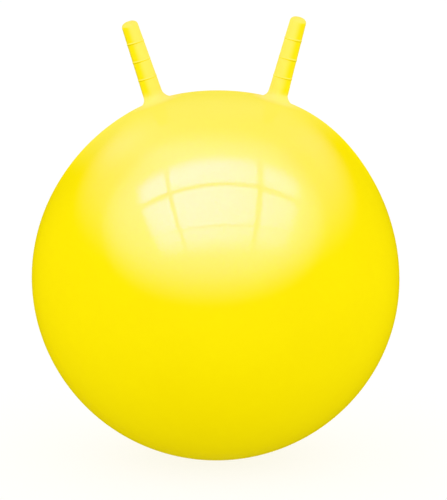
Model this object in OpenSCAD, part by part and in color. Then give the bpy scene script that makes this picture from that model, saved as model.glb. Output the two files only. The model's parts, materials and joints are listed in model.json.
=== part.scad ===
// Hopper ball: a blown-up vinyl ball with two ringed horns to hold on to, and a plug valve at the back.
// The origin is the middle of the flat that rests on the floor. +Z is up, the horns stand side by side
// along X, the rider's front is at -Y and the valve is at +Y.

/* [Ball] */
// Outside diameter of the blown-up ball
ball_d = 550; // [450:5:660]
// Thickness of the ball's skin
skin_t = 1.2; // [0.8:0.1:2]
// Diameter of the flat that the ball's own weight presses out on the floor
floor_patch_d = 56; // [30:2:90]

/* [Horns] */
// Angle at the ball's centre from its top to the root of each horn
horn_spread = 18.7; // [15:0.1:25]
// Lean of the left horn away from the vertical
left_lean = 18.2; // [12:0.1:24]
// Lean of the right horn away from the vertical
right_lean = 15.3; // [12:0.1:24]
// Length of a horn from the ball's surface to the top of its tip
horn_l = 131; // [110:1:170]
// Diameter of a horn where it grows out of its neck
horn_base_d = 28.4; // [24:0.2:34]
// Diameter of a horn at its tip, below the rounded edge
horn_tip_d = 24; // [18:0.5:28]
// Thickness of a horn's wall
horn_wall = 3; // [2:0.25:4]
// Radius of the rounded edge of a horn's tip
tip_edge_r = 7; // [5:0.5:8.5]
// Radius of the fillet that runs from the ball into a horn's neck
root_fillet_r = 13; // [8:0.5:18]

/* [Grip rings] */
// Rings round each horn
ring_count = 3; // [1:1:3]
// Distance from one ring to the next
ring_pitch = 30; // [16:1:32]
// Distance from the top of a horn to its first ring
ring_first = 32.5; // [20:0.5:34]
// Width of a ring along the horn
ring_w = 3; // [2:0.25:5]
// How far a ring stands out of the horn
ring_proud = 0.7; // [0.4:0.1:0.9]

/* [Flex of the horns] */
// How far a horn bends forward and back from rest
flex_angle = 20; // [10:1:25]
// Gap between the round foot of a horn and its socket in the neck
flex_gap = 0.3; // [0.2:0.05:0.5]
// Height of the socket's lowest point above the ball's surface
socket_floor = 1.5; // [0.5:0.25:4]
// Diameter of the air passage between the ball and a horn
passage_d = 16; // [6:1:20]

/* [Valve] */
// Angle at the ball's centre from its top back to the valve
valve_angle = 60; // [45:1:110]
// Diameter of the hole in the skin that takes the valve seat
valve_hole_d = 20; // [18.5:0.5:28]
// Diameter of the seat's flange, bonded to the inside of the skin
seat_flange_d = 36; // [30:1:50]
// Thickness of that flange at its rim
seat_flange_t = 2; // [1:0.25:4]
// Outside diameter of the tube that holds the plug
seat_tube_d = 15; // [12:0.5:18]
// Length of the seat along its axis
seat_l = 18; // [12:0.5:26]
// Diameter of the plug's stem
stem_d = 9; // [6:0.5:11]
// Length of the plug's stem below its head
stem_l = 16; // [10:0.5:24]
// Diameter of the plug's head
head_d = 15; // [12:0.5:16]
// Thickness of the plug's head
head_t = 2; // [1.5:0.25:3]

/* [Hidden] */
$fn = 180;
ball_yellow = [1, 0.93, 0];
plug_white = [0.94, 0.94, 0.9];
left = -1;
right = 1;

// A cut runs this far past the face that it opens
overrun = 1;
// The root fillet bites this deep into the ball's surface, so the two meet at a slight angle
fillet_bite = 0.05;
// Turn of the ball about its upright axis that keeps its first meridian clear of the horns and the valve
meridian_turn = 45;
// Angle by which a socket's rim stays clear of a horn at the end of its bend
rim_margin = 5;
// Angle below the bending centre at which a horn's round foot is cut off
foot_angle = 45;
// Bond line between the valve seat and the skin
bond_gap = 0.05;
// Depth of the seat's outer face below the ball's surface
seat_recess = 0.3;
// Radial clearance of the plug's stem in the seat
stem_gap = 0.05;
// Gap round the plug's head and under it
head_gap = 0.2;
// Radius of the rounded edge of the plug's head
head_edge_r = 0.75;
// Wall of the hollow stem, and the solid that is left between the hollow and the head
stem_wall = 1.5;
// Taper that leads the stem into the seat
lead_in = 1;
// Radius of the thumbnail notch in the head's rim
notch_r = 3;
// How far the notch reaches into the head
notch_depth = 1.2;

ball_r = ball_d / 2;
patch_r = floor_patch_d / 2;
ball_z = sqrt(ball_r * ball_r - patch_r * patch_r);

base_r = horn_base_d / 2;
tip_r = horn_tip_d / 2;
socket_r = base_r + flex_gap;
flex_h = socket_r + socket_floor;
horn_top = horn_l - flex_h;
side_top = horn_top - tip_edge_r;
foot_depth = base_r * sin(foot_angle);
lean_error = max(abs(horn_spread - left_lean), abs(horn_spread - right_lean));
rim_angle = flex_angle + lean_error + rim_margin;
rim_z = flex_h - socket_r * sin(rim_angle);
ring_arc_r = (ring_w * ring_w / 4 + ring_proud * ring_proud) / (2 * ring_proud);

fillet_reach = ball_r + root_fillet_r - fillet_bite;
fillet_x = socket_r + root_fillet_r;
fillet_z = sqrt(fillet_reach * fillet_reach - fillet_x * fillet_x) - ball_r;
// Share of the way from the ball's centre to the fillet's centre at which the middle of the skin lies
skin_share = (ball_r - skin_t / 2) / fillet_reach;
fillet_foot = [fillet_x * skin_share, (fillet_z + ball_r) * skin_share - ball_r];

bore_r = stem_d / 2 + stem_gap;
head_r = head_d / 2;
recess_r = head_r + head_gap;
seat_top = -seat_recess;
seat_low = seat_top - seat_l;
recess_low = seat_top - head_t - head_gap;
head_low = seat_top - head_t;
stem_low = head_low - stem_l;
hollow_top = head_low - stem_wall;
hollow_r = stem_d / 2 - stem_wall;
seat_neck_r = valve_hole_d / 2 - bond_gap;
// The skin's inside at the flange's rim lies lower than at the valve's axis
flange_sphere_r = ball_r - skin_t - bond_gap;
flange_rim_r = seat_flange_d / 2;
flange_low = sqrt(flange_sphere_r * flange_sphere_r - flange_rim_r * flange_rim_r) - ball_r - seat_flange_t;

// Radius of a horn's side at a height above its bending centre
function horn_side(z) = base_r + (tip_r - base_r) * z / side_top;

// Places its children at a horn's root: on the ball's surface, with +Z outwards
module at_horn_root(side) {
  translate([0, 0, ball_z])
    rotate([0, side * horn_spread, 0])
      translate([0, 0, ball_r])
        children();
}

// Places its children at a horn's bending centre, with +Z along the leaning horn
module at_horn(side, lean) {
  reach = ball_r + flex_h;
  translate([side * reach * sin(horn_spread), 0, ball_z + reach * cos(horn_spread)])
    rotate([0, side * lean, 0])
      children();
}

// Places its children on the ball's surface at the valve, with +Z outwards
module at_valve() {
  translate([0, 0, ball_z])
    rotate([-valve_angle, 0, 0])
      translate([0, 0, ball_r])
        children();
}

// A ball that is cut flat at the given height above the floor
module flattened_ball(r, flat_z) {
  intersection() {
    translate([0, 0, ball_z])
      rotate([0, 0, meridian_turn])
        sphere(r = r);
    translate([-ball_d, -ball_d, flat_z])
      cube([ball_d * 2, ball_d * 2, ball_d]);
  }
}

// Half section of a neck: a short column with the root fillet, up to the socket's rim
module neck_section() {
  intersection() {
    translate([0, -skin_t])
      square([fillet_x, rim_z + skin_t]);
    union() {
      translate([0, -skin_t])
        square([socket_r, rim_z + skin_t]);
      difference() {
        polygon([[0, -skin_t], fillet_foot, [fillet_x, fillet_z], [0, fillet_z]]);
        translate([fillet_x, fillet_z])
          circle(r = root_fillet_r);
      }
    }
  }
}

// The skin of the ball with both necks, their sockets and the valve's hole
module ball_envelope() {
  color(ball_yellow)
    difference() {
      union() {
        flattened_ball(ball_r, 0);
        for (side = [left, right])
          at_horn_root(side)
            rotate_extrude()
              neck_section();
      }
      flattened_ball(ball_r - skin_t, skin_t);
      for (side = [left, right])
        at_horn_root(side) {
          translate([0, 0, flex_h])
            sphere(r = socket_r);
          translate([0, 0, -skin_t - overrun])
            cylinder(d = passage_d, h = flex_h + skin_t + overrun);
        }
      at_valve()
        translate([0, 0, -skin_t - overrun])
          cylinder(d = valve_hole_d, h = skin_t + overrun + overrun);
    }
}

// Half section of a horn's outer or inner form, drawn in from the surface by inset
module horn_form(inset) {
  edge_r = tip_edge_r - inset;
  top = horn_top - inset;
  polygon([[0, 0], [base_r - inset, 0], [tip_r - inset, side_top], [0, side_top]]);
  translate([0, side_top])
    square([tip_r - tip_edge_r, top - side_top]);
  intersection() {
    translate([tip_r - tip_edge_r, side_top])
      circle(r = edge_r);
    translate([0, side_top])
      square([tip_r, edge_r]);
  }
  intersection() {
    circle(r = base_r - inset);
    translate([0, -foot_depth])
      square([base_r, foot_depth]);
  }
}

// A hollow horn with its rings, on its round foot
module horn() {
  color(ball_yellow)
    rotate_extrude()
      difference() {
        union() {
          horn_form(0);
          for (i = [0 : ring_count - 1]) {
            ring_z = horn_top - ring_first - i * ring_pitch;
            translate([horn_side(ring_z) + ring_proud - ring_arc_r, ring_z])
              circle(r = ring_arc_r);
          }
        }
        horn_form(horn_wall);
      }
}

module left_horn() {
  at_horn(left, left_lean)
    horn();
}

module right_horn() {
  at_horn(right, right_lean)
    horn();
}

// Half section of the valve seat: a neck in the skin's hole, a flange inside it and the plug's tube
module seat_section() {
  difference() {
    union() {
      translate([0, flange_low])
        square([seat_neck_r, seat_top - flange_low]);
      intersection() {
        translate([0, flange_low])
          square([flange_rim_r, -flange_low]);
        translate([0, -ball_r])
          circle(r = flange_sphere_r);
      }
      translate([0, seat_low])
        square([seat_tube_d / 2, seat_l]);
    }
    translate([0, recess_low])
      square([recess_r, overrun - recess_low]);
    translate([0, seat_low - overrun])
      square([bore_r, seat_l + overrun]);
  }
}

module valve_seat() {
  color(ball_yellow)
    at_valve()
      rotate_extrude()
        seat_section();
}

// Half section of the plug: a flat round head on a hollow stem
module plug_section() {
  edge_x = head_r - head_edge_r;
  edge_z = seat_top - head_edge_r;
  difference() {
    union() {
      translate([0, head_low])
        square([head_r, head_t - head_edge_r]);
      translate([0, head_low])
        square([edge_x, head_t]);
      translate([edge_x, edge_z])
        circle(r = head_edge_r);
      translate([0, stem_low + lead_in])
        square([stem_d / 2, stem_l - lead_in]);
      polygon([
        [0, stem_low],
        [stem_d / 2 - lead_in, stem_low],
        [stem_d / 2, stem_low + lead_in],
        [0, stem_low + lead_in]
      ]);
    }
    translate([0, stem_low - overrun])
      square([hollow_r, hollow_top - stem_low + overrun]);
  }
}

module valve_plug() {
  color(plug_white)
    at_valve()
      difference() {
        rotate_extrude()
          plug_section();
        translate([0, head_r + notch_r - notch_depth, head_low - head_gap])
          cylinder(r = notch_r, h = head_t + head_gap + overrun);
      }
}

ball_envelope();
left_horn();
right_horn();
valve_seat();
valve_plug();
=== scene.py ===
import json
import math

import bpy
import numpy as np
from mathutils import Matrix, Vector
from mathutils.geometry import delaunay_2d_cdt


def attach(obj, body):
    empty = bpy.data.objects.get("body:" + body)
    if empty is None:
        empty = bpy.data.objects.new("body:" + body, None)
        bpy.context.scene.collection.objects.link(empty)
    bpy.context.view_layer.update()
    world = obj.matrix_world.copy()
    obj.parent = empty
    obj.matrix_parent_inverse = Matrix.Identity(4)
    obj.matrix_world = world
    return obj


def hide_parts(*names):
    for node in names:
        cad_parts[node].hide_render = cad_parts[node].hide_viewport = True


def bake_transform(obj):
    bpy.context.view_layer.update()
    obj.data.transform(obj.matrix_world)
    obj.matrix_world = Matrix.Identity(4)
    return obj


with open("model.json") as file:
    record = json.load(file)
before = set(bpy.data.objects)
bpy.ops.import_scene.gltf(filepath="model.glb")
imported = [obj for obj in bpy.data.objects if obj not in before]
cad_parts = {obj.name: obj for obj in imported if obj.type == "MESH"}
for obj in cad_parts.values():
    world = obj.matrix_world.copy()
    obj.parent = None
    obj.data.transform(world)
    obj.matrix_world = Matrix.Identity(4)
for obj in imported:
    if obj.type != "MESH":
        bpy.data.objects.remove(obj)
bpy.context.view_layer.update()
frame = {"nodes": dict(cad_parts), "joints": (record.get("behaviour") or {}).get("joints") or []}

# The hopper ball in metres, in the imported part's frame: +Z up, horns side by side along X, valve at +Y
MM = 0.001
BALL_R = 275 * MM
FOOT_R = 28 * MM
BALL_MID = np.array([0.0, 0.0, math.sqrt(BALL_R**2 - FOOT_R**2)])
SKIN_T = 1.2 * MM
# How softly the ball's side turns into the flat that it stands on
FOOT_SOFTNESS = 0.4 * MM

# A horn, measured from its bending centre along its own axis
HORN_SIDE = {"left": -1, "right": 1}
HORN_LEAN = {"left": math.radians(18.2), "right": math.radians(15.3)}
HORN_BASE_R = 14.4 * MM
HORN_TIP_R = 12.2 * MM
HORN_SIDE_TOP = 106.5 * MM
HORN_TOP = 115.4 * MM
# The curve of the tip's edge: 2 is a quarter of an ellipse, more is squarer
TIP_SQUARENESS = 2.35
ROOT_FILLET_R = 13 * MM
# How long each horn came out of the mould, as a share of its full length
HORN_STRETCH = {"left": 0.948, "right": 0.992}
# Both stand a hair to the left of their true places, in full from this height above the ball's surface
HORN_SHIFT = -1.3 * MM
HORN_SHIFT_FULL = 12 * MM
# The grip rings of a horn
RING_PLACES = [22.5 * MM, 51.8 * MM, 81.2 * MM]
RING_HALF_W = 1.6 * MM
RING_PROUD = 0.45 * MM
# The curve of a ring's back: 1 is a parabola, less is fuller
RING_FULLNESS = 0.8

# Where a horn's skin meets the ball's: the distance of the join from the root's axis
JOIN_R = 42 * MM
# The bend of a horn spreads over this stretch above the ball's surface
BEND_LOW, BEND_HIGH = 5 * MM, 34 * MM

# The valve hole, and the moulded rim that stands up round it
VALVE_AXIS = np.array([0.0, math.sin(math.radians(60)), math.cos(math.radians(60))])
VALVE_HOLE_R = 10 * MM
VALVE_LIP_R = 0.6 * MM
VALVE_WALL_DEPTH = SKIN_T + 0.4 * MM
VALVE_RIM_IN, VALVE_RIM_OUT = 12 * MM, 18.5 * MM
VALVE_RIM_PROUD = 0.55 * MM
VALVE_RIM_SLOPE = 1.8 * MM

# The line that the two halves of the mould leave, in the plane of the horns, worn away close to the floor
MOULD_LINE_HALF_W = 0.9 * MM
MOULD_LINE_PROUD = 0.07 * MM
MOULD_LINE_WORN = 6 * MM

# A blown ball isn't quite round: angle in the plane of the horns, spread and height of each swelling
SWELLINGS = [
    (60, 15, 5.2 * MM),
    (108, 10, 2.2 * MM),
    (16, 20, -2.9 * MM),
    (146, 18, -2.0 * MM),
]
# The swellings fade out up a horn, over this stretch above the ball's surface
SWELLING_FADE = (4 * MM, 48 * MM)

# How close the points of the skins lie
SKIN_STEP = 6.5 * MM
SKIN_POINTS = 26000
HORN_COLUMNS = 96
LINE_STEP = 4 * MM
FOOT_STEP = 4 * MM
# Round a join and the valve they lie closest in the first row, and wider by this much from row to row
JOIN_STEP, JOIN_WIDENS = 2.75 * MM, 0.9 * MM
VALVE_STEP, VALVE_WIDENS = 1.4 * MM, 0.22 * MM
# Rows of points outside a horn's join, outside the valve hole and about the foot's edge, in millimetres
JOIN_ROWS = (0.8, 2, 4, 7, 11)
VALVE_ROWS = (1.1, 1.6, 2.2, 2.8, 3.4, 4.2, 5.4, 6.6, 7.4, 8.0, 8.6, 9.3, 10.2, 11.5, 13.5, 16.5, 21)
FOOT_ROWS = (-21, -14, -9, -5, -2.5, -1, 0, 1, 2.5, 5, 9, 14, 20)
# The rows along the mould line, in half widths of it
LINE_ROWS = (-1.35, -1, -0.5, 0, 0.5, 1, 1.35)


def unit(v):
    return v / np.linalg.norm(v, axis=-1, keepdims=True)


def smooth(low, high, x):
    t = np.clip((x - low) / (high - low), 0, 1)
    return t * t * (3 - 2 * t)


def swelling(directions):
    """How far the blown skin stands out from a true ball, for unit directions from the ball's middle."""
    out = np.zeros(len(directions))
    for angle, spread, height in SWELLINGS:
        a = math.radians(angle)
        peak = np.array([math.cos(a), 0.0, math.sin(a)])
        away = np.arccos(np.clip(directions @ peak, -1, 1))
        out += height * np.exp(-0.5 * (away / math.radians(spread)) ** 2)
    return out


def off_axis(directions, axis):
    """Distance on the ball from the axis through a feature, for unit directions from the ball's middle."""
    return BALL_R * np.linalg.norm(np.cross(directions, axis), axis=1)


def clear_of(directions, axis, reach):
    """Which directions lie further than reach from the feature on an axis."""
    front = directions @ axis > 0
    return ~(front & (off_axis(directions, axis) < reach))


def cross_axes(axis):
    """Two unit vectors square to an axis: the first in the plane of the horns, the second along Y."""
    second = np.array([0.0, 1.0, 0.0])
    if abs(axis[1]) > 1e-6:
        second = unit(np.cross(axis, [1.0, 0.0, 0.0]))
    return np.cross(second, axis), second


def ring_directions(axis, r, azimuths):
    """Unit directions to points on the ball that lie r from an axis."""
    first, second = cross_axes(axis)
    across = r / BALL_R
    turn = np.outer(np.cos(azimuths), first) + np.outer(np.sin(azimuths), second)
    return across * turn + math.sqrt(1 - across * across) * axis


def even_ring(axis, r, step, shift=0.0):
    count = max(12, round(math.tau * r / step))
    return ring_directions(axis, r, (np.arange(count) + shift) * math.tau / count)


def mesh_piece(name, points, faces):
    mesh = bpy.data.meshes.new(name)
    mesh.from_pydata([tuple(p) for p in points], [], faces)
    mesh.validate()
    mesh.update()
    mesh.polygons.foreach_set("use_smooth", [True] * len(mesh.polygons))
    piece = bpy.data.objects.new(name, mesh)
    bpy.context.scene.collection.objects.link(piece)
    return piece


def points_of(piece):
    flat = np.zeros(len(piece.data.vertices) * 3)
    piece.data.vertices.foreach_get("co", flat)
    return flat.reshape(-1, 3)


def normals_of(piece):
    flat = np.zeros(len(piece.data.vertices) * 3, np.float32)
    piece.data.vertex_normals.foreach_get("vector", flat)
    return flat.reshape(-1, 3).astype(float)


def raise_mould_line(piece):
    """Lifts the fine ridge that the mould leaves where the skin crosses the plane of the horns."""
    points = points_of(piece)
    share = np.clip(1 - (points[:, 1] / MOULD_LINE_HALF_W) ** 2, 0, 1)
    share *= smooth(0, MOULD_LINE_WORN, points[:, 2])
    points += normals_of(piece) * (MOULD_LINE_PROUD * share**2)[:, None]
    piece.data.vertices.foreach_set("co", points.ravel())
    piece.data.update()


joints = {j["name"]: j for j in frame["joints"]}
pivots = {side: np.array(joints[side + "_horn_flex"]["pos_m"]) for side in HORN_SIDE}
root_axes = {side: unit(pivots[side] - BALL_MID) for side in HORN_SIDE}
flex_height = np.linalg.norm(pivots["left"] - BALL_MID) - BALL_R

# Columns round a horn, closer together where the mould line runs
line_columns = [s * a for s in (-1, 1) for a in (1.25, 2.5)]
horn_azimuths = np.radians(
    sorted(
        {round(i * 360 / HORN_COLUMNS, 4) for i in range(HORN_COLUMNS)}
        | {round(a % 360, 4) for a in line_columns}
        | {round(180 + a, 4) for a in line_columns}
    )
)


def horn_section():
    """Half section of a horn's skin, from the join on the ball to the tip: rows of distance from the axis
    and height above the ball's surface."""
    slope = (HORN_TIP_R - HORN_BASE_R) / HORN_SIDE_TOP
    tilt = math.atan(-slope)
    out_r, out_z = math.cos(tilt), math.sin(tilt)
    line = HORN_BASE_R * out_r + flex_height * out_z
    mid_z = ROOT_FILLET_R
    for _ in range(40):
        mid_r = (line + ROOT_FILLET_R - mid_z * out_z) / out_r
        mid_z = math.sqrt((BALL_R + ROOT_FILLET_R) ** 2 - mid_r**2) - BALL_R

    rows = []
    foot_r = BALL_R / (BALL_R + ROOT_FILLET_R) * mid_r
    near_join = [JOIN_R, JOIN_R - 0.8 * MM, JOIN_R - 2 * MM]
    for r in near_join + list(np.linspace(JOIN_R - 4 * MM, foot_r, 6)):
        rows.append((r, math.sqrt(BALL_R**2 - r * r) - BALL_R))
    low_angle = math.atan2(-(mid_z + BALL_R), -mid_r)
    for a in np.linspace(low_angle, tilt - math.pi, 17)[1:]:
        rows.append((mid_r + ROOT_FILLET_R * math.cos(a), mid_z + ROOT_FILLET_R * math.sin(a)))

    first = rows[-1][1] - flex_height + 1.5 * MM
    heights = set(np.round(np.arange(first, HORN_SIDE_TOP, 2.5 * MM), 6))
    for place in RING_PLACES:
        heights = {h for h in heights if abs(h - place) > RING_HALF_W * 1.3}
        heights |= set(np.round(place + RING_HALF_W * np.sin(np.linspace(-1, 1, 15) * math.pi / 2), 6))
        heights |= {round(place + s * RING_HALF_W * 1.15, 6) for s in (-1, 1)}
    for h in sorted(heights):
        r = HORN_BASE_R + slope * h
        for place in RING_PLACES:
            t = (h - place) / RING_HALF_W
            r += RING_PROUD * max(0.0, 1 - t * t) ** RING_FULLNESS
        rows.append((r, flex_height + h))

    tip_power = 2 / TIP_SQUARENESS
    for a in np.linspace(0, math.pi / 2, 17)[:-1]:
        r = HORN_TIP_R * math.cos(a) ** tip_power
        h = HORN_SIDE_TOP + (HORN_TOP - HORN_SIDE_TOP) * math.sin(a) ** tip_power
        rows.append((r, flex_height + h))
    return np.array(rows)


def horn_skin(side):
    """One horn's skin with the patch of ball round its root: it runs on from the ball without a step."""
    axis = root_axes[side]
    first, second = cross_axes(axis)
    rows = horn_section()
    turn = np.outer(np.cos(horn_azimuths), first) + np.outer(np.sin(horn_azimuths), second)
    root = BALL_MID + BALL_R * axis
    points = (root + rows[:, None, 1:2] * axis + rows[:, None, 0:1] * turn[None]).reshape(-1, 3)
    points = np.vstack([points, root + (flex_height + HORN_TOP) * axis])
    heights = (points - root) @ axis
    points += np.outer((HORN_STRETCH[side] - 1) * np.maximum(heights - flex_height, 0), axis)
    points[:, 0] += HORN_SHIFT * smooth(0, HORN_SHIFT_FULL, heights)

    away = points - BALL_MID
    directions = unit(away)
    above = np.linalg.norm(away, axis=1) - BALL_R
    points += directions * (swelling(directions) * (1 - smooth(*SWELLING_FADE, above)))[:, None]

    lean = HORN_SIDE[side] * (HORN_LEAN[side] - math.asin(abs(axis[0])))
    angles = lean * smooth(BEND_LOW, BEND_HIGH, heights)
    c, s = np.cos(angles), np.sin(angles)
    x, y, z = (points - pivots[side]).T
    points = pivots[side] + np.stack([c * x + s * z, y, c * z - s * x], 1)

    n = len(turn)
    faces = []
    for i in range(len(rows) - 1):
        for j in range(n):
            k = (j + 1) % n
            faces.append((i * n + j, i * n + k, (i + 1) * n + k, (i + 1) * n + j))
    last = (len(rows) - 1) * n
    faces += [(last + j, last + (j + 1) % n, len(points) - 1) for j in range(n)]
    return mesh_piece(side + "_horn_skin", points, faces)


def ball_points():
    """Unit directions of the ball skin's points, and which of them ring each horn's join and the valve."""
    i = np.arange(SKIN_POINTS) + 0.5
    polar = np.arccos(1 - 2 * i / SKIN_POINTS)
    turn = i * math.pi * (3 - math.sqrt(5))
    spread = np.stack([np.cos(turn) * np.sin(polar), np.sin(turn) * np.sin(polar), np.cos(polar)], 1)
    down = np.array([0.0, 0.0, -1.0])

    rings = []
    join_ladder = [JOIN_R + g * MM for g in JOIN_ROWS]
    for side in HORN_SIDE:
        for k, r in enumerate(join_ladder):
            step = min(SKIN_STEP, JOIN_STEP + k * JOIN_WIDENS)
            rings.append(even_ring(root_axes[side], r, step, 0.5 * (k % 2)))
    valve_ladder = [VALVE_HOLE_R + g * MM for g in VALVE_ROWS]
    for k, r in enumerate(valve_ladder):
        step = min(SKIN_STEP, VALVE_STEP + k * VALVE_WIDENS)
        rings.append(even_ring(VALVE_AXIS, r, step, 0.5 * (k % 2)))
    foot_ladder = [FOOT_R + g * MM for g in FOOT_ROWS]
    for k, r in enumerate(foot_ladder):
        step = SKIN_STEP if k in (0, 1, 11, 12) else FOOT_STEP
        rings.append(even_ring(down, r, step, 0.5 * (k % 2)))
    rings = np.vstack(rings)
    rings = rings[np.abs(rings[:, 1]) * BALL_R > MOULD_LINE_HALF_W + 1.2 * MM]

    around = np.arange(0, math.tau, LINE_STEP / BALL_R)
    line = []
    for y in LINE_ROWS:
        across = y * MOULD_LINE_HALF_W / BALL_R
        flat = math.sqrt(1 - across * across)
        aside = np.full(len(around), across)
        line.append(np.stack([flat * np.cos(around), aside, flat * np.sin(around)], 1))
    line = np.vstack(line)

    keep = np.abs(spread[:, 1]) * BALL_R > MOULD_LINE_HALF_W + SKIN_STEP * 0.4
    for side in HORN_SIDE:
        line = line[clear_of(line, root_axes[side], JOIN_R + 0.7 * MM)]
        keep &= clear_of(spread, root_axes[side], join_ladder[-1] + SKIN_STEP * 0.5)
    keep &= clear_of(spread, VALVE_AXIS, valve_ladder[-1] + SKIN_STEP * 0.5)
    keep &= clear_of(spread, down, foot_ladder[-1] + SKIN_STEP * 0.5)
    parts = [ring_directions(root_axes[side], JOIN_R, horn_azimuths) for side in HORN_SIDE]
    valve_ring = even_ring(VALVE_AXIS, VALVE_HOLE_R + VALVE_LIP_R, VALVE_STEP)
    parts += [valve_ring, line, rings, spread[keep]]
    n = len(horn_azimuths)
    return np.vstack(parts), [range(0, n), range(n, 2 * n)], range(2 * n, 2 * n + len(valve_ring))


def ball_skin():
    """The blown ball: a skin that is open at the horns' roots and at the valve, and flat where it stands."""
    directions, joins, valve_ring = ball_points()
    first, second = cross_axes(VALVE_AXIS)
    below = 1 - directions @ VALVE_AXIS
    flat = [Vector((d @ first / b, d @ second / b)) for d, b in zip(directions, below)]
    _, _, triangles, came_from, _, _ = delaunay_2d_cdt(flat, [], [], 0, 1e-9)
    origin = [c[0] for c in came_from]
    holes = [set(j) for j in joins]
    faces = []
    for t in triangles:
        f = [origin[v] for v in t]
        if any(all(v in h for v in f) for h in holes):
            continue
        p = directions[f]
        if np.dot(np.cross(p[1] - p[0], p[2] - p[0]), p[0]) < 0:
            f.reverse()
        faces.append(tuple(f))

    reach = off_axis(directions, VALVE_AXIS)
    rim = smooth(VALVE_RIM_IN - VALVE_RIM_SLOPE, VALVE_RIM_IN, reach)
    rim *= 1 - smooth(VALVE_RIM_OUT - VALVE_RIM_SLOPE, VALVE_RIM_OUT, reach)
    rim *= directions @ VALVE_AXIS > 0
    points = BALL_MID + directions * (BALL_R + swelling(directions) + VALVE_RIM_PROUD * rim)[:, None]
    points[:, 2] = (points[:, 2] + np.sqrt(points[:, 2] ** 2 + FOOT_SOFTNESS**2)) / 2

    # The hole's edge turns in over a round lip, and a short wall goes down to the valve seat
    ring = list(valve_ring)
    turn = unit(points[ring] - BALL_MID - np.outer((points[ring] - BALL_MID) @ VALVE_AXIS, VALVE_AXIS))
    top = (points[ring] - BALL_MID) @ VALVE_AXIS
    points = list(points)
    steps = [(1 - math.sin(a), 1 - math.cos(a)) for a in np.radians((30, 60, 90))]
    steps = [(VALVE_LIP_R * out_by, VALVE_LIP_R * drop) for out_by, drop in steps]
    steps.append((0.0, VALVE_WALL_DEPTH))
    last = ring
    for out_by, drop in steps:
        row = BALL_MID + turn * (VALVE_HOLE_R + out_by) + np.outer(top - drop, VALVE_AXIS)
        start = len(points)
        points += list(row)
        now = list(range(start, start + len(ring)))
        for j in range(len(ring)):
            k = (j + 1) % len(ring)
            faces.append((last[k], last[j], now[j], now[k]))
        last = now
    return mesh_piece("ball_skin", points, faces), joins


skin, joins = ball_skin()
horns = {side: horn_skin(side) for side in HORN_SIDE}
for piece in [skin, *horns.values()]:
    raise_mould_line(piece)

# The skins share one normal at each join, so no edge shows there
skin_normals = normals_of(skin)
for side, join in zip(HORN_SIDE, joins):
    horn_normals = normals_of(horns[side])
    ring = list(join)
    shared = unit(skin_normals[ring] + horn_normals[: len(ring)])
    skin_normals[ring] = horn_normals[: len(ring)] = shared
    horns[side].data.normals_split_custom_set_from_vertices([tuple(v) for v in horn_normals])
skin.data.normals_split_custom_set_from_vertices([tuple(v) for v in skin_normals])


class Wire:
    """A shader socket to write sums with: an expression on it adds its Math nodes."""

    def __init__(self, tree, socket):
        self.tree = tree
        self.socket = socket

    def node(self, kind, settings=None, sockets=None, output=0):
        """Adds a node: its settings first, then its sockets' values or links. Gives one of its outputs."""
        made = self.tree.nodes.new(kind)
        for name, value in (settings or {}).items():
            setattr(made, name, value)
        for name, value in (sockets or {}).items():
            if isinstance(value, Wire):
                self.tree.links.new(value.socket, made.inputs[name])
            else:
                made.inputs[name].default_value = value
        return Wire(self.tree, made.outputs[output] if made.outputs else None)

    def math(self, operation, *values):
        return self.node("ShaderNodeMath", {"operation": operation}, dict(enumerate(values)))

    def __add__(self, other):
        return self.math("ADD", self, other)

    __radd__ = __add__

    def __sub__(self, other):
        return self.math("SUBTRACT", self, other)

    def __rsub__(self, other):
        return self.math("SUBTRACT", other, self)

    def __mul__(self, other):
        return self.math("MULTIPLY", self, other)

    __rmul__ = __mul__

    def vector(self, operation, *values):
        """A Vector Math node, which gives a number for a length, a distance or a dot product."""
        output = "Value" if operation in ("LENGTH", "DISTANCE", "DOT_PRODUCT") else "Vector"
        return self.node("ShaderNodeVectorMath", {"operation": operation}, dict(enumerate(values)), output)

    def part(self, axis):
        """The X, Y or Z of this vector."""
        return self.node("ShaderNodeSeparateXYZ", None, {"Vector": self}, axis)

    def step(self, low, high):
        """Rises softly from 0 to 1 while this value goes from low to high."""
        sockets = {"Value": self, "From Min": low, "From Max": high}
        return self.node("ShaderNodeMapRange", {"interpolation_type": "SMOOTHSTEP"}, sockets)

    def blend(self, low, high):
        """Mixes two colours by this value, through the Mix node's colour sockets."""
        sockets = {"Factor": self, 6: low, 7: high}
        return self.node("ShaderNodeMix", {"data_type": "RGBA"}, sockets, 2)

    def noise(self, scale, detail=2.0, roughness=0.5):
        sockets = {"Vector": self, "Scale": scale, "Detail": detail, "Roughness": roughness}
        return self.node("ShaderNodeTexNoise", None, sockets)

    def glow(self, tint, strength):
        return self.node("ShaderNodeEmission", None, {"Color": tint, "Strength": strength})


def new_finish(name):
    """An empty material and the wire that its nodes are drawn from."""
    finish = bpy.data.materials.new(name)
    finish.use_nodes = True
    finish.node_tree.nodes.clear()
    return finish, Wire(finish.node_tree, None)


def close_finish(wire, surface):
    wire.node("ShaderNodeOutputMaterial", None, {"Surface": surface})


def dress(piece, finish):
    piece.data.materials.clear()
    piece.data.materials.append(finish)


# The vinyl's yellow, the painted sheen, painted highlight and painted shade that stand in for light on it,
# and what it turns to where it is scuffed
YELLOW_DEEP = (0.948, 0.765, 0.0, 1)
YELLOW_CLEAR = (0.965, 0.787, 0.0, 1)
CROWN_PAINTED_SHEEN = (0.97, 0.85, 0.105, 1)
ROOT_PAINTED_HIGHLIGHT = (0.97, 0.832, 0.155, 1)
HORN_PAINTED_SHEEN = (0.97, 0.805, 0.105, 1)
HORN_SHADE = (0.69, 0.58, 0.0, 1)
SCUFFED = (0.72, 0.6, 0.08, 1)
SHEEN_TINT = (1.0, 0.82, 0.02, 1)
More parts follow.
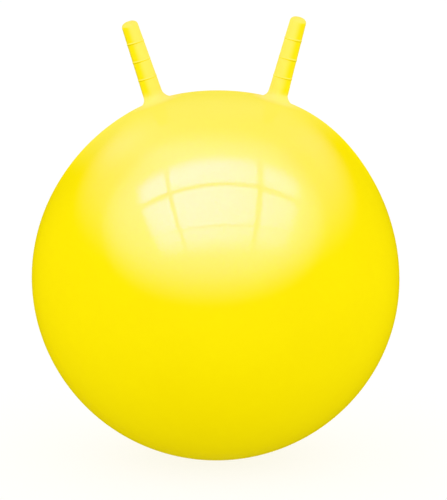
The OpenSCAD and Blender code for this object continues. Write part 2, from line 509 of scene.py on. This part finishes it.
# Heights over which the painted sheen comes onto the crown, crown and seat turn dull, and the scuffs of the
# floor end
CROWN_PAINTED_SHEEN_RISE = (0.455, 0.53)
CROWN_DULL_RISE = (0.474, 0.525)
SEAT_DULL_RISE = (0.37, 0.47)
SCUFF_RISE = (0.004, 0.05)
# The seat is behind the horns and starts over this stretch of Y
SEAT_START = (-0.1, -0.01)
# The painted sheen on the crown reaches lower on the left
CROWN_TILT = 0.1
# How far a horn's side faces up or down, as the Z of its normal, where the painted sheen and the painted
# shade come in
HORN_PAINTED_SHEEN_TURN = (-0.14, 0.08)
HORN_SHADE_TURN = (-0.31, -0.19)
# The horns' finish takes over at this distance from the ball's middle
HORN_FINISH = (BALL_R + 8 * MM, BALL_R + 22 * MM)
# It also covers the ball round each root, out to this distance from the root's axis and above this height,
# where the painted sheen turns to a painted highlight
ROOT_FADE = (22 * MM, 44 * MM)
ROOT_RISE = (0.4, 0.45)
# How strong the wet coat is, and how much of it dull, mottled and scuffed places lose
COAT = 0.42
DULL_LOSS, MOTTLED_LOSS, SCUFFED_LOSS = 0.37, 0.03, 0.18
# The plug's white, and the same with grime on it
PLUG_WHITE = (0.86, 0.86, 0.82, 1)
PLUG_GRIMY = (0.78, 0.77, 0.71, 1)


def glossy_vinyl():
    """Blown vinyl: clear yellow under a wet coat, cloudy by a hair, with a painted sheen on the crown and on
    the horns' upper sides, a painted highlight round the horns' roots, painted shade on the horns'
    undersides, duller on crown, seat and horns, and scuffed where it stands."""
    finish, wire = new_finish("glossy_vinyl")
    place = wire.node("ShaderNodeTexCoord", output="Object")
    sideways, behind, height = place.part("X"), place.part("Y"), place.part("Z")
    facing = wire.node("ShaderNodeNewGeometry", output="Normal").part("Z")
    away = wire.vector("SUBTRACT", place, tuple(BALL_MID))
    horn = wire.vector("LENGTH", away).step(*HORN_FINISH)
    grip = horn
    for axis in root_axes.values():
        off = wire.vector("LENGTH", wire.vector("CROSS_PRODUCT", away, tuple(axis)))
        root = (1 - off.step(*ROOT_FADE)) * height.step(*ROOT_RISE)
        grip = wire.math("MAXIMUM", grip, root)
    cloud = place.noise(7.0, 3.0)
    mottle = place.noise(60.0, 2.0)
    peel = place.noise(420.0, 2.0, 0.45)
    pores = place.noise(2600.0, 1.0)
    scuffs = (1 - height.step(*SCUFF_RISE)) * place.noise(240.0, 4.0, 0.7).step(0.45, 0.75)

    colour = (cloud * 0.75 + mottle * 0.25).step(0.3, 0.7).blend(YELLOW_DEEP, YELLOW_CLEAR)
    # Painted sheen: the crown is painted paler by its height, and the horns' sides by how far they face up,
    # in place of the light from overhead
    crown = (height - CROWN_TILT * sideways).step(*CROWN_PAINTED_SHEEN_RISE)
    painted_sheen = (1 - horn) * crown + horn * facing.step(*HORN_PAINTED_SHEEN_TURN)
    # Painted highlight: round the horns' roots the painted sheen turns creamier
    pale = horn.blend(grip.blend(CROWN_PAINTED_SHEEN, ROOT_PAINTED_HIGHLIGHT), HORN_PAINTED_SHEEN)
    colour = painted_sheen.blend(colour, pale)
    # Painted shade: the horns' undersides are painted darker by how far they face down
    under = horn * (1 - facing.step(*HORN_SHADE_TURN))
    colour = under.blend(colour, HORN_SHADE)
    colour = (scuffs * 0.35).blend(colour, SCUFFED)

    dull = height.step(*SEAT_DULL_RISE) * behind.step(*SEAT_START)
    dull = wire.math("MAXIMUM", dull, height.step(*CROWN_DULL_RISE))
    mottled = mottle.step(0.55, 0.8)
    bump = {"Strength": 0.12, "Distance": 0.00012, "Height": peel * 0.75 + pores * 0.25}
    both = {
        "Base Color": colour,
        "IOR": 1.5,
        "Sheen Weight": 0.2,
        "Sheen Roughness": 0.4,
        "Sheen Tint": SHEEN_TINT,
        "Normal": wire.node("ShaderNodeBump", None, bump),
    }
    coated = {
        "Roughness": 0.5,
        "Specular IOR Level": 0.0,
        "Coat Weight": COAT - DULL_LOSS * dull - MOTTLED_LOSS * mottled - SCUFFED_LOSS * scuffs,
        "Coat Roughness": 0.09,
        "Coat IOR": 1.5,
    }
    uncoated = {
        "Roughness": 0.42 + 0.1 * cloud,
        "Specular IOR Level": 0.04,
    }
    ball_side = wire.node("ShaderNodeBsdfPrincipled", None, both | coated)
    grip_side = wire.node("ShaderNodeBsdfPrincipled", None, both | uncoated)
    close_finish(wire, wire.node("ShaderNodeMixShader", None, {0: grip, 1: ball_side, 2: grip_side}))
    return finish


def satin_plug():
    """Moulded white plug: satin, with a fine grain and a little hand grime in patches."""
    finish, wire = new_finish("satin_plug")
    place = wire.node("ShaderNodeTexCoord", output="Object")
    grime = place.noise(300.0, 4.0, 0.6)
    bump = {"Strength": 0.25, "Distance": 0.00005, "Height": place.noise(5200.0, 2.0)}
    sockets = {
        "Base Color": grime.step(0.4, 0.85).blend(PLUG_WHITE, PLUG_GRIMY),
        "Roughness": 0.42 + 0.14 * grime,
        "IOR": 1.48,
        "Normal": wire.node("ShaderNodeBump", None, bump),
    }
    close_finish(wire, wire.node("ShaderNodeBsdfPrincipled", None, sockets))
    return finish


vinyl = glossy_vinyl()
for piece in [skin, *horns.values()]:
    dress(piece, vinyl)
dress(frame["nodes"]["valve_seat"], vinyl)
dress(frame["nodes"]["valve_plug"], satin_plug())

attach(skin, "ball")
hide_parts("ball_envelope")
for side, horn in horns.items():
    root = BALL_MID + BALL_R * root_axes[side]
    tuple(root + BEND_LOW * root_axes[side])
    tuple(root + BEND_HIGH * root_axes[side])
    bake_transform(horn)
    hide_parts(side + "_horn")

# The camera: in front, a little above, aimed so that the ball sits where the photograph has it
CAMERA_REACH = 4.0
CAMERA_RISE = math.radians(10.5)
FOCAL_PX, FRAME_PX, SENSOR = 2681, 500, 36.0
AIM_RIGHT_PX, AIM_UP_PX = 7.3, 25.6
back = Vector((0, -math.cos(CAMERA_RISE), math.sin(CAMERA_RISE)))
camera_up = Vector((0, math.sin(CAMERA_RISE), math.cos(CAMERA_RISE)))
middle = Vector(BALL_MID)
pixel = CAMERA_REACH / FOCAL_PX
camera = bpy.data.objects.new("camera", bpy.data.cameras.new("camera"))
bpy.context.scene.collection.objects.link(camera)
camera.location = middle + back * CAMERA_REACH
aim = middle + Vector((AIM_RIGHT_PX * pixel, 0, 0)) + camera_up * (AIM_UP_PX * pixel)
camera.rotation_mode = "QUATERNION"
camera.rotation_quaternion = (aim - camera.location).to_track_quat("-Z", "Y")
camera.data.lens = FOCAL_PX / FRAME_PX * SENSOR
camera.data.sensor_width = SENSOR
camera.data.clip_end = 200
bpy.context.scene.camera = camera

# The studio: a pale floor, a white backdrop for the camera, and walls that show in the gloss only
WHITE = (1, 1, 1, 1)
FLOOR_HALF = 40.0
BACKDROP_R, STUDIO_R = 60.0, 50.0
# The floor glows a little and is lit a little, so that the shadow on it stays soft
FLOOR_GLOW = 0.8
FLOOR_GREY = (0.22, 0.22, 0.22, 1)
# The light that shows in the gloss is cold, so that it turns the yellow to cream and not to lime
WALL_TINT = (0.45, 0.36, 1.0, 1)
PANE_TINT = (0.4, 0.12, 1.0, 1)
# The studio's own glow: overhead, and in the spill round the softbox, which fades with the angle from it
OVERHEAD_SIDE = Vector((0, -0.15, 0.989)).normalized()
OVERHEAD_RISE = (0.2, 0.64)
OVERHEAD_LEVEL = 4.2
SOFTBOX_SIDE = Vector((-0.04, -0.588, 0.809)).normalized()
SPILL_LEVEL = 8.7
SPILL_NARROW = 0.7
SPILL_FADE = (math.cos(math.radians(64)), math.cos(math.radians(32)))


def stage_piece(name, points, faces, sees):
    """A piece of the studio, shown only to the kinds of ray that are named."""
    piece = mesh_piece(name, points, faces)
    for kind in ("camera", "diffuse", "glossy", "transmission", "shadow"):
        setattr(piece, "visible_" + kind, kind in sees)
    return piece


def dome(name, r, sees):
    rows, columns = 12, 32
    points = []
    for e in np.linspace(-math.pi / 2 + 0.01, math.pi / 2 - 0.01, rows):
        for a in np.linspace(0, math.tau, columns, endpoint=False):
            points.append((r * math.cos(e) * math.cos(a), r * math.cos(e) * math.sin(a), r * math.sin(e)))
    faces = []
    for low in range(0, (rows - 1) * columns, columns):
        high = low + columns
        for j in range(columns):
            k = (j + 1) % columns
            faces.append((low + j, high + j, high + k, low + k))
    faces += [tuple(range(columns)), tuple(reversed(range((rows - 1) * columns, rows * columns)))]
    return stage_piece(name, points, faces, sees)


def floor_finish():
    """A pale light table."""
    finish, wire = new_finish("pale_floor")
    plain = wire.node("ShaderNodeBsdfDiffuse", None, {"Color": FLOOR_GREY})
    close_finish(wire, wire.node("ShaderNodeAddShader", None, {0: wire.glow(WHITE, FLOOR_GLOW), 1: plain}))
    return finish


def backdrop_finish():
    finish, wire = new_finish("white_backdrop")
    close_finish(wire, wire.glow(WHITE, 1.0))
    return finish


def studio_finish():
    """The bare studio: dark low down, paler overhead, brightest round the softbox."""
    finish, wire = new_finish("studio_walls")
    place = wire.node("ShaderNodeTexCoord", output="Object")
    overhead = wire.vector("DOT_PRODUCT", wire.vector("NORMALIZE", place), OVERHEAD_SIDE)
    narrowed = wire.vector("NORMALIZE", wire.vector("MULTIPLY", place, (SPILL_NARROW, 1, 1)))
    toward = wire.vector("DOT_PRODUCT", narrowed, SOFTBOX_SIDE)
    level = overhead.step(*OVERHEAD_RISE) * OVERHEAD_LEVEL + toward.step(*SPILL_FADE) * SPILL_LEVEL
    close_finish(wire, wire.glow(WALL_TINT, level))
    return finish


corners = [(x * FLOOR_HALF, y * FLOOR_HALF, 0) for x, y in ((-1, -1), (1, -1), (1, 1), (-1, 1))]
floor = stage_piece("floor", corners, [(0, 1, 2, 3)], ("camera", "transmission"))
backdrop = dome("backdrop", BACKDROP_R, ("camera", "transmission"))
studio = dome("studio_walls", STUDIO_R, ("glossy",))
stage_finishes = [(floor, floor_finish()), (backdrop, backdrop_finish()), (studio, studio_finish())]
for piece, finish in stage_finishes:
    finish.cycles.emission_sampling = "NONE"
    dress(piece, finish)

# Even light from pale walls, brightest at eye level: it lights the colour and doesn't show in the gloss
WALL_LEVEL, WALL_RISE, WALL_BULGE = 1.28, 0.165, 0.76
world = bpy.data.worlds.new("room_light")
bpy.context.scene.world = world
world.use_nodes = True
world.node_tree.nodes.clear()
wire = Wire(world.node_tree, None)
rise = wire.node("ShaderNodeTexCoord", output="Generated").part("Z")
walls = WALL_LEVEL + WALL_RISE * rise - WALL_BULGE * rise * rise
walls = wire.node("ShaderNodeBackground", None, {"Color": WHITE, "Strength": walls})
wire.node("ShaderNodeOutputWorld", None, {"Surface": walls})
world.cycles_visibility.glossy = False

# The softbox: panes of light with bars between them, hung over the camera and facing the ball
SOFTBOX_MID = Vector((0, -1.325, 2.275))
SOFTBOX_RIGHT = Vector((0.998, 0.063, 0.030)).normalized()
SOFTBOX_UP = Vector((-0.070, 0.900, 0.429)).normalized()
# Each pane's left, right, lower and upper edge, and how bright it is
PANES = [
    (-2.1, -1.095, 0.42, 1.3, 22.0),
    (-0.995, 0.955, 0.395, 1.3, 21.0),
    (1.105, 2.6, 0.43, 1.3, 23.5),
    (-2.1, -1.095, -0.76, 0.265, 21.2),
    (-0.995, 0.955, -0.76, 0.29, 21.3),
    (1.105, 2.6, -0.76, 0.255, 23.8),
    (-2.1, -1.095, -1.95, -0.81, 17.2),
    (-0.995, 0.955, -1.95, -0.81, 17.2),
    (1.105, 2.6, -1.95, -0.81, 18.6),
]
# How the light fades away from the lamp behind the panes, and towards the softbox's edges
HOT_SPOT = SOFTBOX_MID - 0.55 * SOFTBOX_RIGHT
FADE_START, FADE_END, FADE_LEAST = 0.3, 2.9, 0.38
EDGE_LEFT, EDGE_RIGHT, EDGE_LOW, EDGE_TOP = (-2.2, -1.8), (2.0, 2.6), (-2.0, -0.95), (0.85, 1.35)
softbox_turn = Matrix((SOFTBOX_RIGHT, SOFTBOX_UP, SOFTBOX_RIGHT.cross(SOFTBOX_UP))).transposed().to_4x4()


def pane_glow(light):
    """Lets a pane fade with its distance from the lamp behind it and towards the softbox's edges."""
    light.use_nodes = True
    light.node_tree.nodes.clear()
    wire = Wire(light.node_tree, None)
    place = wire.node("ShaderNodeNewGeometry", output="Position")
    off = wire.vector("DISTANCE", place, HOT_SPOT)
    fade = 1 - off.step(FADE_START, FADE_END) * (1 - FADE_LEAST)
    place = wire.vector("SUBTRACT", place, SOFTBOX_MID)
    across = wire.vector("DOT_PRODUCT", place, SOFTBOX_RIGHT)
    up = wire.vector("DOT_PRODUCT", place, SOFTBOX_UP)
    fade = fade * across.step(*EDGE_LEFT) * (1 - across.step(*EDGE_RIGHT))
    fade = fade * up.step(*EDGE_LOW) * (1 - up.step(*EDGE_TOP))
    wire.node("ShaderNodeOutputLight", None, {"Surface": wire.glow(PANE_TINT, fade)})


for left, right, low, high, level in PANES:
    light = bpy.data.lights.new("softbox_pane", "AREA")
    light.shape = "RECTANGLE"
    light.size, light.size_y = right - left, high - low
    light.energy = level * math.pi * light.size * light.size_y
    pane_glow(light)
    pane = bpy.data.objects.new("softbox_pane", light)
    bpy.context.scene.collection.objects.link(pane)
    pane_mid = SOFTBOX_MID + SOFTBOX_RIGHT * ((left + right) / 2) + SOFTBOX_UP * ((low + high) / 2)
    pane.matrix_world = Matrix.Translation(pane_mid) @ softbox_turn
    pane.visible_camera = False
    pane.visible_diffuse = False

bpy.context.scene.view_settings.view_transform = "Standard"
